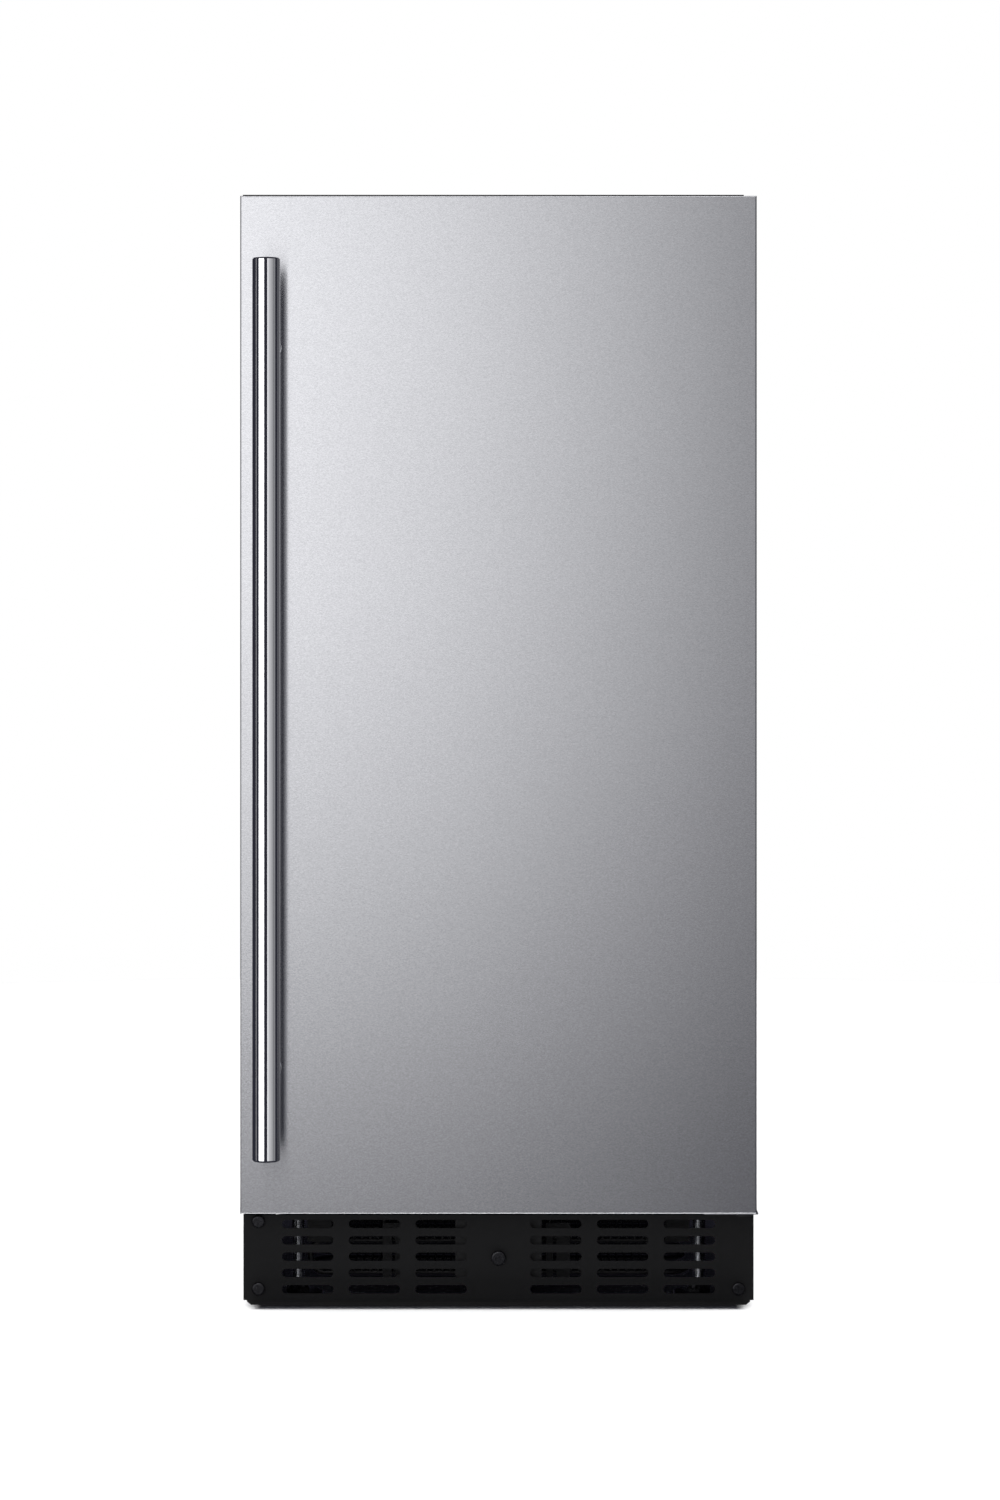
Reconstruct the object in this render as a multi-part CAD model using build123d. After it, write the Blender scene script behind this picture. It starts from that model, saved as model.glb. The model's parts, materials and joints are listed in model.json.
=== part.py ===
"""Undercounter refrigerator, 15 inches wide, with a right-hinged stainless door over a louvred kick plate.

Frame: millimetres, +Z up, the door faces -Y, the origin is on the floor below the middle of the whole
object. Every sub-part is made by its own function and written to parts/NODE.step.
"""

import math
import os

from build123d import *

# ---------------------------------------------------------------- driving dimensions
DOOR_WIDTH = 378.0
CABINET_WIDTH = 377.0
DOOR_BOTTOM = 73.0
DOOR_TOP = 818.0
CABINET_TOP = 814.0
REAR = 326.0
CABINET_FRONT = -214.0
DOOR_FRONT = -264.0
DOOR_REAR = -223.0
SHEET = 1.0
SKIN = 0.8

# cabinet: insulated box over a machine compartment
HALF = CABINET_WIDTH / 2
INSIDE = HALF - SHEET
SKIRT_BOTTOM = 5.0
PAN_BOTTOM = 72.0
PAN_TOP = PAN_BOTTOM + SHEET
STEP_Y = 145.0
STEP_TOP = 255.0
PANEL_Y = REAR - 4 - SHEET
FLANGE = 20.0
FLANGE_REAR = CABINET_FRONT + SHEET
LIP_REAR = CABINET_FRONT + 2
LIP_HALF = HALF - FLANGE

# storage cavity
CAVITY_HALF = 148.5
CAVITY_FLOOR = 120.0
CAVITY_CEILING = 770.0
CAVITY_REAR = 270.0
HUMP_Y = 95.0
HUMP_TOP = 300.0
LINER = 2.0
CAVITY_ROUND = 14.0
RIB_TOPS = [316 + 50 * i for i in range(8)]
RIB_DEPTH = 7.0
RIB_HEIGHT = 4.0
RIB_Y = (-98.0, 212.0)

# door
HINGE_X = 179.5
HINGE_Y = -243.0
PIN_R = 4.0
PIN_BORE = 4.05
EDGE_ROUND = 1.2
CAP_PROUD = 0.8
GASKET_OUTER = 178.0
GASKET_INNER = 160.0
GASKET_Z = (86.0, 802.0)
GASKET_REAR = CABINET_FRONT - 0.3
RIDGE_X = (112.0, 132.0)
RIDGE_Z = (130.0, 738.0)
RIDGE_REAR = -178.0
BIN_REAR = -150.0
BIN_LEVELS = {"lower": (150.0, 88.0), "middle": (372.0, 70.0), "upper": (566.0, 70.0)}

# bar handle
BAR_R = 10.0
BAR_X = -167.0
BAR_Y = DOOR_FRONT - 52.0
BAR_Z = (118.0, 769.0)
POST_R = 6.0
POST_INSET = 62.0

# kick plate
KICK_FRONT = -234.0
KICK_TOP = 68.0
KICK_SIDE_BOTTOM = 4.8
KICK_BOTTOM = 1.3
KICK_LIP_HALF = 185.9
SLOT_LENGTH = 38.0
SLOT_HEIGHT = 6.2
SLOT_X = [side * (42.4 + 49.3 * i) for side in (-1, 1) for i in range(3)]
SLOT_Z = [12.8 + 12.06 * i for i in range(5)]
KICK_SCREWS = [(-177.4, 62.9), (-177.4, 13.2), (177.4, 13.2)]
KICK_BOLT = (0.0, 35.8)

# levelling legs
LEG_X = 149.7
LEG_FRONT_Y = -200.0
LEG_REAR_Y = 285.0
STUD_R = 5.0
THREAD_PITCH = 1.5
THREAD_DEPTH = 0.8
FOOT_R = 19.0
TRAY_Z = (28.0, 30.0)

# refrigeration
TUBE_R = 2.4
WIRE_R = 0.75
WIRE_PITCH = 6.0
LAYER_Z = (17.5, 41.5)
PASS_PITCH = 32.0
PASS_COUNT = 10
PASS_FRONT_Y = -185.0
PASS_HALF = 141.0
BEND_R = 15.5
LEAD_Z = 36.0
LEAD_Y = STEP_Y + 30
COMPRESSOR = (60.0, 233.0)
COMPRESSOR_R = 60.0
COMPRESSOR_Z = (52.0, 196.0)
FAN_X = -95.0
FAN_Z = 118.0
FAN_R = 52.0
SHROUD_Y = 160.0
DRIER = (-165.0, 200.0)
GLAND = (-120.0, 70.0)
COVER_Y = 232.0
EVAP_FAN_Z = 668.0
EVAP_FAN_R = 42.0
EVAP_Y = 252.0
EVAP_PASSES = [350 + 36 * i for i in range(6)]
DRAIN = (60.0, 248.0)

# interior furniture
SHELF_LEVELS = {"lower": RIB_TOPS[0], "middle": RIB_TOPS[3], "upper": RIB_TOPS[6]}
GLASS = 4.0
SHELF_HALF = 146.0
SHELF_FRONT = -112.0
SHELF_REAR = 222.0
CRISPER_HALF = 134.0
CRISPER_Z = (CAVITY_FLOOR, 288.0)
CRISPER_Y = (-112.0, 80.0)
CONTROL_Y = (-186.0, -116.0)
CONTROL_BOTTOM = 744.0


# ---------------------------------------------------------------- small helpers
def slab(x, y, z):
    """A box between two limits on each axis."""
    spans = [x, y, z]
    size = [hi - lo for lo, hi in spans]
    middle = [(hi + lo) / 2 for lo, hi in spans]
    return Pos(*middle) * Box(*size)


def rod_x(y, z, x, radius):
    """A cylinder along X between two limits."""
    return Pos((x[0] + x[1]) / 2, y, z) * Rot(0, 90, 0) * Cylinder(radius, x[1] - x[0])


def rod_y(x, z, y, radius):
    """A cylinder along Y between two limits."""
    return Pos(x, (y[0] + y[1]) / 2, z) * Rot(90, 0, 0) * Cylinder(radius, y[1] - y[0])


def rod_z(x, y, z, radius):
    """A cylinder along Z between two limits."""
    return Pos(x, y, (z[0] + z[1]) / 2) * Cylinder(radius, z[1] - z[0])


def ring_z(x, y, z, outer, inner):
    """A tube along Z."""
    return rod_z(x, y, z, outer) - rod_z(x, y, (z[0] - 1, z[1] + 1), inner)


def group(shapes):
    """Separate solids kept together in one node."""
    solids = []
    for shape in shapes:
        solids.extend(shape.solids())
    return Compound(children=solids)


def mirrored_x(shape):
    return mirror(shape, about=Plane.YZ)


def side_profile(points, half_width):
    """A block with an outline in the YZ plane and the full width about X = 0."""
    face = Plane.YZ * make_face(Polyline([(y, z) for y, z in points], close=True))
    return extrude(face, amount=half_width, both=True)


def edges_behind(shape, y):
    """Edges whose middle lies behind a plane across the object."""
    return [e for e in shape.edges() if e.center().Y > y]


def pan_head(x, z, y_face, radius, height, shank_r, shank_y):
    """A screw seen from -Y: a domed head with a cross recess, and its shank."""
    head = rod_y(x, z, (y_face - height, y_face), radius)
    rim = head.edges().filter_by(GeomType.CIRCLE).sort_by(Axis.Y)[0]
    head = fillet(rim, height * 0.55)
    arm = radius * 0.55
    recess_y = (y_face - height - 1, y_face - height * 0.45)
    cross = slab((x - arm, x + arm), recess_y, (z - 0.5, z + 0.5))
    cross += slab((x - 0.5, x + 0.5), recess_y, (z - arm, z + arm))
    return (head - cross) + rod_y(x, z, (y_face - 0.1, shank_y), shank_r)


def threaded_stud(x, y, z, radius, pitch, depth):
    """A stud along Z with grooves at the thread's pitch."""
    turns = int((z[1] - z[0] - 3) / pitch)
    outline = [(0, z[0]), (radius - depth, z[0]), (radius - depth, z[0] + 1.5)]
    for i in range(turns):
        start = z[0] + 1.5 + i * pitch
        outline.append((radius, start + pitch * 0.4))
        outline.append((radius, start + pitch * 0.6))
        outline.append((radius - depth, start + pitch))
    outline += [(radius - depth, z[1]), (0, z[1])]
    face = Plane.XZ * make_face(Polyline(outline, close=True))
    return Pos(x, y, 0) * revolve(face, Axis.Z)


def axial_fan(x, z, y, radius, hub_radius, bore, blades, pitch_deg):
    """A fan wheel turning about Y: a hub with twisted blades."""
    depth = y[1] - y[0]
    middle = (y[0] + y[1]) / 2
    wheel = rod_y(x, z, y, hub_radius)
    chord = depth / math.sin(math.radians(pitch_deg)) * 1.05
    reach = radius - hub_radius + 3
    blade = Box(chord, 1.6, reach)
    blade = Rot(0, 0, pitch_deg) * blade
    envelope = rod_y(0, 0, (-depth / 2 + 0.4, depth / 2 - 0.4), radius)
    for i in range(blades):
        swing = Rot(0, 360 / blades * i, 0)
        placed = swing * Pos(0, 0, hub_radius - 3 + reach / 2) * blade
        wheel += Pos(x, middle, z) * (placed & envelope)
    return wheel - rod_y(x, z, (y[0] + 3, y[1] + 1), bore)


def louvres(xs, zs, length, height, y):
    """Rounded slots cut through a panel that faces Y."""
    cutters = []
    for x in xs:
        for z in zs:
            slot = Plane.XZ * Pos(x, z) * SlotOverall(length, height)
            cutters.append(Pos(0, (y[0] + y[1]) / 2, 0) * extrude(slot, amount=(y[1] - y[0]) / 2, both=True))
    return cutters


# ---------------------------------------------------------------- cabinet shell
def side_panel_left():
    side = slab((-HALF, -INSIDE), (CABINET_FRONT, PANEL_Y), (SKIRT_BOTTOM, CABINET_TOP))
    front = slab((-HALF, -LIP_HALF), (CABINET_FRONT, FLANGE_REAR), (PAN_BOTTOM, CABINET_TOP))
    rear = slab((-HALF, -LIP_HALF), (PANEL_Y - SHEET, PANEL_Y), (TRAY_Z[1], STEP_TOP - SHEET))
    for x, z in cover_screw_places():
        rear -= rod_y(x, z, (PANEL_Y - 3, PANEL_Y + 1), 2.0)
    return side + front + rear


def top_panel():
    top = slab((-INSIDE, INSIDE), (CABINET_FRONT, PANEL_Y), (CABINET_TOP - SHEET, CABINET_TOP))
    top -= slab((-HALF, -LIP_HALF), (CABINET_FRONT - 1, FLANGE_REAR), (CABINET_TOP - 2, CABINET_TOP + 1))
    top -= slab((LIP_HALF, HALF), (CABINET_FRONT - 1, FLANGE_REAR), (CABINET_TOP - 2, CABINET_TOP + 1))
    flange_z = (CABINET_TOP - 1 - FLANGE, CABINET_TOP - SHEET)
    top += slab((-LIP_HALF, LIP_HALF), (CABINET_FRONT, FLANGE_REAR), flange_z)
    for x, y in bracket_screw_places():
        top -= rod_z(x, y, (CABINET_TOP - 2, CABINET_TOP + 1), 2.0)
    return top


def floor_pan():
    """Stepped steel underside of the insulated box: low in front, raised over the compressor."""
    outline = [
        (FLANGE_REAR, PAN_BOTTOM),
        (STEP_Y, PAN_BOTTOM),
        (STEP_Y, STEP_TOP - SHEET),
        (PANEL_Y, STEP_TOP - SHEET),
        (PANEL_Y, STEP_TOP),
        (STEP_Y - SHEET, STEP_TOP),
        (STEP_Y - SHEET, PAN_TOP),
        (FLANGE_REAR, PAN_TOP),
    ]
    pan = side_profile(outline, INSIDE)
    pan += slab((-LIP_HALF, LIP_HALF), (CABINET_FRONT, FLANGE_REAR), (PAN_BOTTOM, PAN_TOP + FLANGE))
    for x, y in bracket_screw_places():
        pan -= rod_z(x, y, (PAN_BOTTOM - 1, PAN_TOP + 1), 2.0)
    return pan - rod_z(*DRAIN, (STEP_TOP - 2, STEP_TOP + 1), 7.0)


def rear_panel():
    return slab((-HALF, HALF), (PANEL_Y, PANEL_Y + SHEET), (STEP_TOP, CABINET_TOP))


def cavity_block(grow):
    """The storage space, grown outwards on every side but the open front."""
    points = [
        (CABINET_FRONT, CAVITY_FLOOR - grow),
        (HUMP_Y + grow, CAVITY_FLOOR - grow),
        (HUMP_Y + grow, HUMP_TOP - grow),
        (CAVITY_REAR + grow, HUMP_TOP - grow),
        (CAVITY_REAR + grow, CAVITY_CEILING + grow),
        (CABINET_FRONT, CAVITY_CEILING + grow),
    ]
    block = side_profile(points, CAVITY_HALF + grow)
    return fillet(edges_behind(block, CABINET_FRONT + 1), CAVITY_ROUND + grow)


def inner_liner():
    """Vacuum-formed liner with its front lip and the ribs that carry the shelves."""
    liner = cavity_block(LINER)
    lip_z = (PAN_TOP + FLANGE, CABINET_TOP - 1 - FLANGE)
    liner += slab((-LIP_HALF, LIP_HALF), (CABINET_FRONT, LIP_REAR), lip_z)
    liner -= cavity_block(0)
    for top in RIB_TOPS:
        for side in (-1, 1):
            x = sorted((side * (CAVITY_HALF - RIB_DEPTH), side * (CAVITY_HALF + 0.5)))
            liner += slab(x, RIB_Y, (top - RIB_HEIGHT, top))
    liner -= rod_z(*DRAIN, (HUMP_TOP - 4, HUMP_TOP + 2), 6.0)
    return liner


def foam_insulation():
    """Foamed-in-place polyurethane between the liner and the steel shell."""
    outline = [
        (LIP_REAR, PAN_TOP),
        (STEP_Y - SHEET, PAN_TOP),
        (STEP_Y - SHEET, STEP_TOP),
        (PANEL_Y, STEP_TOP),
        (PANEL_Y, CABINET_TOP - SHEET),
        (LIP_REAR, CABINET_TOP - SHEET),
    ]
    foam = side_profile(outline, INSIDE) - cavity_block(LINER)
    return foam - rod_z(*DRAIN, (STEP_TOP - 1, HUMP_TOP + 1), 7.0)


# ---------------------------------------------------------------- base and machine compartment
def leg_brackets():
    """Pressed brackets under the pan that take the front levelling studs."""
    top = slab((128, 156), (-213, -184), (PAN_BOTTOM - 3, PAN_BOTTOM))
    web = slab((125, 143), (-196, -194), (42, PAN_BOTTOM - 3))
    boss = rod_z(LEG_X, LEG_FRONT_Y, (PAN_BOTTOM - 9, PAN_BOTTOM - 3), 9.0)
    web_tab = slab((125, 128), (-196, -184), (PAN_BOTTOM - 3, PAN_BOTTOM))
    right = top + boss + web + web_tab
    right -= rod_z(LEG_X, LEG_FRONT_Y, (PAN_BOTTOM - 10, PAN_BOTTOM + 1), STUD_R + 0.1)
    return [right, mirrored_x(right)]


def base_tray():
    """Galvanised tray that carries the compressor and takes the rear levelling studs."""
    tray = slab((-INSIDE, INSIDE), (STEP_Y - 5, PANEL_Y - 2), TRAY_Z)
    for x in (-INSIDE, INSIDE - 1.5):
        tray += slab((x, x + 1.5), (STEP_Y - 5, PANEL_Y - 2), (TRAY_Z[1], 58))
    for side in (-1, 1):
        tray += rod_z(side * LEG_X, LEG_REAR_Y, (TRAY_Z[1], TRAY_Z[1] + 8), 9.0)
    for side in (-1, 1):
        tray -= rod_z(side * LEG_X, LEG_REAR_Y, (TRAY_Z[0] - 1, TRAY_Z[1] + 9), STUD_R + 0.1)
    for x, y in mount_places():
        tray -= rod_z(x, y, (TRAY_Z[0] - 1, TRAY_Z[1] + 1), 3.0)
    return tray


def levelling_leg(x, y, stud_top):
    """Hexagon-headed foot disc on a threaded stud, one turned piece in use."""
    foot = rod_z(x, y, (0, 7), FOOT_R)
    foot = fillet(foot.edges().filter_by(GeomType.CIRCLE), 1.5)
    hexagon = Pos(x, y, 7) * extrude(RegularPolygon(9.5, 6), amount=7)
    stud = threaded_stud(x, y, (14, stud_top), STUD_R, THREAD_PITCH, THREAD_DEPTH)
    return foot + hexagon + stud


def kick_plate():
    """Folded steel grille with six columns of five louvre slots and a tucked-in bottom lip."""
    face = slab((-HALF, HALF), (KICK_FRONT, KICK_FRONT + SHEET), (KICK_SIDE_BOTTOM, KICK_TOP))
    plate = face
    for x in (-HALF, HALF - SHEET):
        plate += slab((x, x + SHEET), (KICK_FRONT, CABINET_FRONT), (KICK_SIDE_BOTTOM, KICK_TOP))
    lip_outline = Polyline(
        [
            (-KICK_LIP_HALF, KICK_SIDE_BOTTOM + 1),
            (-KICK_LIP_HALF, KICK_BOTTOM + 2.4),
            (-KICK_LIP_HALF + 3, KICK_BOTTOM),
            (KICK_LIP_HALF - 3, KICK_BOTTOM),
            (KICK_LIP_HALF, KICK_BOTTOM + 2.4),
            (KICK_LIP_HALF, KICK_SIDE_BOTTOM + 1),
        ],
        close=True,
    )
    lip = extrude(Plane.XZ * make_face(lip_outline), amount=-SHEET)
    plate += Pos(0, KICK_FRONT, 0) * lip
    plate += slab(
        (-KICK_LIP_HALF + 3, KICK_LIP_HALF - 3),
        (KICK_FRONT, KICK_FRONT + 14),
        (KICK_BOTTOM, KICK_BOTTOM + SHEET),
    )
    for cutter in louvres(SLOT_X, SLOT_Z, SLOT_LENGTH, SLOT_HEIGHT, (KICK_FRONT - 2, KICK_FRONT + 2)):
        plate -= cutter
    for x, z in KICK_SCREWS:
        plate -= rod_y(x, z, (KICK_FRONT - 1, KICK_FRONT + 2), 2.0)
    return plate - rod_y(*KICK_BOLT, (KICK_FRONT - 1, KICK_FRONT + 2), 3.0)


def kick_side_brackets():
    """Angles inside the side panels that the kick plate is screwed to."""
    tab = slab((170, INSIDE - 1.5), (KICK_FRONT + SHEET, KICK_FRONT + 2.5), (8, 66))
    web = slab((INSIDE - 1.5, INSIDE), (KICK_FRONT + SHEET, -190), (8, 66))
    right = tab + web
    left = mirrored_x(right)
    for x, z in KICK_SCREWS:
        hole = rod_y(x, z, (KICK_FRONT, KICK_FRONT + 4), 2.0)
        right, left = right - hole, left - hole
    return [left, right]


def kick_centre_bracket():
    """Wide plate behind the middle of the kick plate, hung from the pan."""
    plate = slab((-32, 32), (-226, -224.5), (20, PAN_BOTTOM))
    top = slab((-32, 32), (-224.5, -192), (PAN_BOTTOM - 1.5, PAN_BOTTOM))
    for x in (-32, 30.5):
        plate += slab((x, x + 1.5), (-224.5, -206), (20, PAN_BOTTOM - 1.5))
    return (plate + top) - rod_y(*KICK_BOLT, (-227, -223), 3.0)


def kick_screws():
    shank_y = KICK_FRONT + 8
    return [pan_head(x, z, KICK_FRONT, 4.9, 2.4, 2.0, shank_y) for x, z in KICK_SCREWS]


def kick_bolt():
    """Button-headed socket bolt in the middle of the kick plate."""
    x, z = KICK_BOLT
    head = rod_y(x, z, (KICK_FRONT - 2.6, KICK_FRONT), 5.6)
    head = fillet(head.edges().filter_by(GeomType.CIRCLE).sort_by(Axis.Y)[0], 1.5)
    socket = Pos(x, KICK_FRONT - 3, z) * extrude(Plane.XZ * RegularPolygon(2.6, 6), amount=-2.2)
    return (head - socket) + rod_y(x, z, (KICK_FRONT - 0.1, -220), 3.0)


def machine_cover():
    """Louvred rear cover of the machine compartment."""
    cover = slab((-HALF, HALF), (PANEL_Y, PANEL_Y + SHEET), (TRAY_Z[1], STEP_TOP))
    zs = [105 + 14 * i for i in range(9)]
    for cutter in louvres((-110, -36, 38, 112), zs, 60, 5, (PANEL_Y - 1, PANEL_Y + 2)):
        cover -= cutter
    for x, z in cover_screw_places():
        cover -= rod_y(x, z, (PANEL_Y - 1, PANEL_Y + 2), 2.0)
    return cover - rod_y(*GLAND, (PANEL_Y - 1, PANEL_Y + 2), 7.0)


def cover_screw_places():
    return [(x, z) for x in (-176, 176) for z in (46, 238)]


def machine_cover_screws():
    """Screws seen from the back, made facing -Y and turned half a turn."""
    turned = []
    for x, z in cover_screw_places():
        screw = pan_head(0, 0, 0, 4.9, 2.4, 2.0, 8)
        turned.append(Pos(x, PANEL_Y + SHEET, z) * Rot(0, 0, 180) * screw)
    return turned


def rear_bumpers():
    """Moulded spacers that hold the cabinet off the wall."""
    places = [(x, z) for x in (-150, 150) for z in (300, 770)]
    bumpers = []
    for x, z in places:
        bumper = rod_y(x, z, (PANEL_Y + SHEET, REAR), 11)
        bumpers.append(fillet(bumper.edges().filter_by(GeomType.CIRCLE).sort_by(Axis.Y)[-1], 1.5))
    return group(bumpers)


def cord_gland():
    """Moulded bush where the supply lead enters; the lead itself isn't part of this object."""
    bush = rod_y(*GLAND, (PANEL_Y + SHEET, REAR), 10.0)
    bush += rod_y(*GLAND, (PANEL_Y - 8, PANEL_Y + SHEET + 1), 7.0)
    bush += rod_y(*GLAND, (PANEL_Y - 10, PANEL_Y), 9.0)
    return bush - rod_y(*GLAND, (PANEL_Y - 12, REAR + 1), 4.0)


# ---------------------------------------------------------------- refrigeration
def serpentine(z):
    """Corner points of one layer of the condenser tube, from front to back."""
    points = []
    for i in range(PASS_COUNT):
        y = PASS_FRONT_Y + PASS_PITCH * i
        ends = (-PASS_HALF, PASS_HALF) if i % 2 == 0 else (PASS_HALF, -PASS_HALF)
        points += [(x, y, z) for x in ends]
    return points


def condenser_tube():
    """One tube in two serpentine layers, with both ends led back to the machine compartment."""
    low, high = LAYER_Z
    lower = serpentine(low)[::-1]
    upper = serpentine(high)
    last_y = upper[-1][1]
    lead = [(-PASS_HALF, LEAD_Y, LEAD_Z), (-PASS_HALF, STEP_Y - 6, LEAD_Z), (-PASS_HALF, last_y + 15, low)]
    points = lead + lower + upper + [(-PASS_HALF, LEAD_Y, high)]
    lower_radii = [10.0] + [BEND_R] * (len(lower) - 2) + [11.5]
    upper_radii = [11.5] + [BEND_R] * (len(upper) - 1)
    path = FilletPolyline(points, radius=[8.0, 8.0] + lower_radii + upper_radii)
    section = Plane(path @ 0, z_dir=path % 0) * Circle(TUBE_R)
    return sweep(section, path=path)


def condenser_wires():
    """Fin wires laid across both tube layers."""
    count = int(2 * 120 / WIRE_PITCH) + 1
    rods = []
    for z in LAYER_Z:
        for i in range(count):
            x = -120 + WIRE_PITCH * i
            rods.append(rod_y(x, z + TUBE_R + WIRE_R + 0.02, (-193.5, 112), WIRE_R))
    return group(rods)


def condenser_hangers():
    """Punched strips that hang both tube layers from the pan, each with a slit plate in front."""
    strips = []
    for x, slit, width, web in ((-86.7, 6.9, 13.7, 0.0), (35.4, 5.4, 18.2, 2.1)):
        strip = slab((x + web, x + web + 1.5), (-194, 110), (12, PAN_BOTTOM))
        strip += slab((x, x + width), (-195.5, -194), (12, 56))
        strip -= slab((x + slit, x + slit + 2.4), (-197, -193), (10, 51))
        for z in LAYER_Z:
            for i in range(PASS_COUNT):
                strip -= rod_x(PASS_FRONT_Y + PASS_PITCH * i, z, (x - 2, x + 5), TUBE_R)
        strips.append(strip)
    return group(strips)


def fan_shroud():
    """Bulkhead across the machine compartment with the condenser fan's ring."""
    plate = slab((-INSIDE + 2, INSIDE - 2), (SHROUD_Y, SHROUD_Y + 1.5), (TRAY_Z[1], STEP_TOP - 2))
    plate += rod_y(FAN_X, FAN_Z, (SHROUD_Y, SHROUD_Y + 23.5), FAN_R + 5)
    plate -= rod_y(FAN_X, FAN_Z, (SHROUD_Y - 1, SHROUD_Y + 24), FAN_R + 3)
    for z in (LEAD_Z, LAYER_Z[1]):
        plate -= rod_y(-PASS_HALF, z, (SHROUD_Y - 2, SHROUD_Y + 3), TUBE_R + 1)
    for angle in (45, 135, 225, 315):
        spoke = Pos(FAN_X, SHROUD_Y + 22, FAN_Z) * Rot(0, angle, 0) * Pos(0, 0, 41) * Box(5, 3, 34)
        plate += spoke
    plate += rod_y(FAN_X, FAN_Z, (SHROUD_Y + 20.5, SHROUD_Y + 23.5), 27)
    return plate - rod_y(FAN_X, FAN_Z, (SHROUD_Y + 20, SHROUD_Y + 24), 3.1)


def condenser_fan_blade():
    return axial_fan(FAN_X, FAN_Z, (SHROUD_Y + 3, SHROUD_Y + 19), FAN_R, 17, 2.0, 5, 32)


def condenser_fan_motor():
    """Shaded-pole motor behind the fan, with its shaft in the wheel's bore."""
    motor = rod_y(FAN_X, FAN_Z, (SHROUD_Y + 23.5, SHROUD_Y + 52), 26)
    motor = fillet(motor.edges().filter_by(GeomType.CIRCLE).sort_by(Axis.Y)[-1], 3)
    return motor + rod_y(FAN_X, FAN_Z, (SHROUD_Y + 7, SHROUD_Y + 24), 1.95)


def mount_places():
    x, y = COMPRESSOR
    return [(x + sx * 62, y + sy * 42) for sx in (-1, 1) for sy in (-1, 1)]


def compressor_shell():
    """Two welded domes with the weld rim, turned about the vertical."""
    x, y = COMPRESSOR
    z0, z1 = COMPRESSOR_Z
    r = COMPRESSOR_R
    rim = (z0 + z1) / 2 + 12
    with BuildSketch(Plane.XZ) as half:
        with BuildLine():
            Polyline((0, z0), (r - 30, z0))
            RadiusArc((r - 30, z0), (r - 2, z0 + 28), -29)
            Polyline((r - 2, z0 + 28), (r - 2, rim - 4), (r + 2, rim - 4), (r + 2, rim), (r - 1, rim))
            Polyline((r - 1, rim), (r - 1, z1 - 36))
            RadiusArc((r - 1, z1 - 36), (r - 37, z1), -37)
            Polyline((r - 37, z1), (0, z1), (0, z0))
        make_face()
    return Pos(x, y, 0) * revolve(half.sketch, Axis.Z)


def compressor():
    """Shell with its foot plate welded underneath."""
    x, y = COMPRESSOR
    z0 = COMPRESSOR_Z[0]
    plate = slab((x - 74, x + 74), (y - 52, y + 52), (z0 - 6, z0 - 3))
    plate = fillet(plate.edges().filter_by(Axis.Z), 12)
    plate += rod_z(x, y, (z0 - 3, z0), 27)
    for mx, my in mount_places():
        plate -= rod_z(mx, my, (z0 - 7, z0 - 2), 3.0)
    return compressor_shell() + plate


def compressor_mounts():
    """Rubber isolators between the foot plate and the tray, each with its bolt."""
    z0 = COMPRESSOR_Z[0]
    pieces = []
    for x, y in mount_places():
        grommet = ring_z(x, y, (TRAY_Z[1], z0 - 6), 10, 3.0)
        pieces.append(grommet - ring_z(x, y, (TRAY_Z[1] + 6, TRAY_Z[1] + 10), 12, 7.5))
        head = Pos(x, y, z0 - 3) * extrude(RegularPolygon(5.5, 6), amount=4)
        pieces.append(head + rod_z(x, y, (TRAY_Z[0], z0 - 2.9), 3.0))
    return group(pieces)


def compressor_terminal_cover():
    x, y = COMPRESSOR
    box = slab((x - 84, x - 50), (y - 24, y + 24), (96, 148))
    box = fillet(box.edges().filter_by(Axis.Y), 5)
    return box - compressor_shell()


def copper_line(points, radii):
    path = FilletPolyline(points, radius=radii)
    return sweep(Plane(path @ 0, z_dir=path % 0) * Circle(TUBE_R), path=path)


def refrigerant_lines():
    """Discharge line from the compressor and liquid line up to the drier."""
    x, y = COMPRESSOR
    discharge = copper_line(
        [
            (-PASS_HALF, LEAD_Y, LAYER_Z[1]),
            (-PASS_HALF, 232, LAYER_Z[1]),
            (-PASS_HALF, 306, 90),
            (-40, 306, 90),
            (x, 306, 120),
            (x, y + COMPRESSOR_R - 2, 120),
        ],
        [9, 14, 12, 8],
    )
    liquid = copper_line(
        [
            (-PASS_HALF, LEAD_Y, LEAD_Z),
            (-PASS_HALF, LEAD_Y + 13, LEAD_Z),
            (*DRIER, LEAD_Z),
            (*DRIER, 96),
        ],
        [6, 8],
    )
    return group([discharge - compressor_shell(), liquid])


def filter_drier():
    """Spun copper drier with tapered ends, standing on the liquid line."""
    profile = [(0, 96), (3.2, 96), (3.2, 104), (9.5, 114), (9.5, 190), (2.5, 200), (2.5, 206), (0, 206)]
    face = Plane.XZ * make_face(Polyline(profile, close=True))
    return Pos(*DRIER, 0) * revolve(face, Axis.Z)


def drain_tube():
    """Defrost water drain from the liner's hump to the tray on the compressor."""
    tube = rod_z(*DRAIN, (212, HUMP_TOP - LINER), 7.0)
    tube += rod_z(*DRAIN, (HUMP_TOP - LINER, HUMP_TOP), 6.0)
    return tube - rod_z(*DRAIN, (210, HUMP_TOP + 1), 4.5)


def drain_tray():
    """Evaporation tray clipped on top of the compressor."""
    x, y = COMPRESSOR
    z0 = COMPRESSOR_Z[1]
    tray = slab((x - 54, x + 54), (y - 50, y + 50), (z0, z0 + 20))
    tray = fillet(tray.edges().filter_by(Axis.Z), 10)
    hollow = slab((x - 52, x + 52), (y - 48, y + 48), (z0 + 2, z0 + 21))
    return tray - fillet(hollow.edges().filter_by(Axis.Z), 8)


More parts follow.
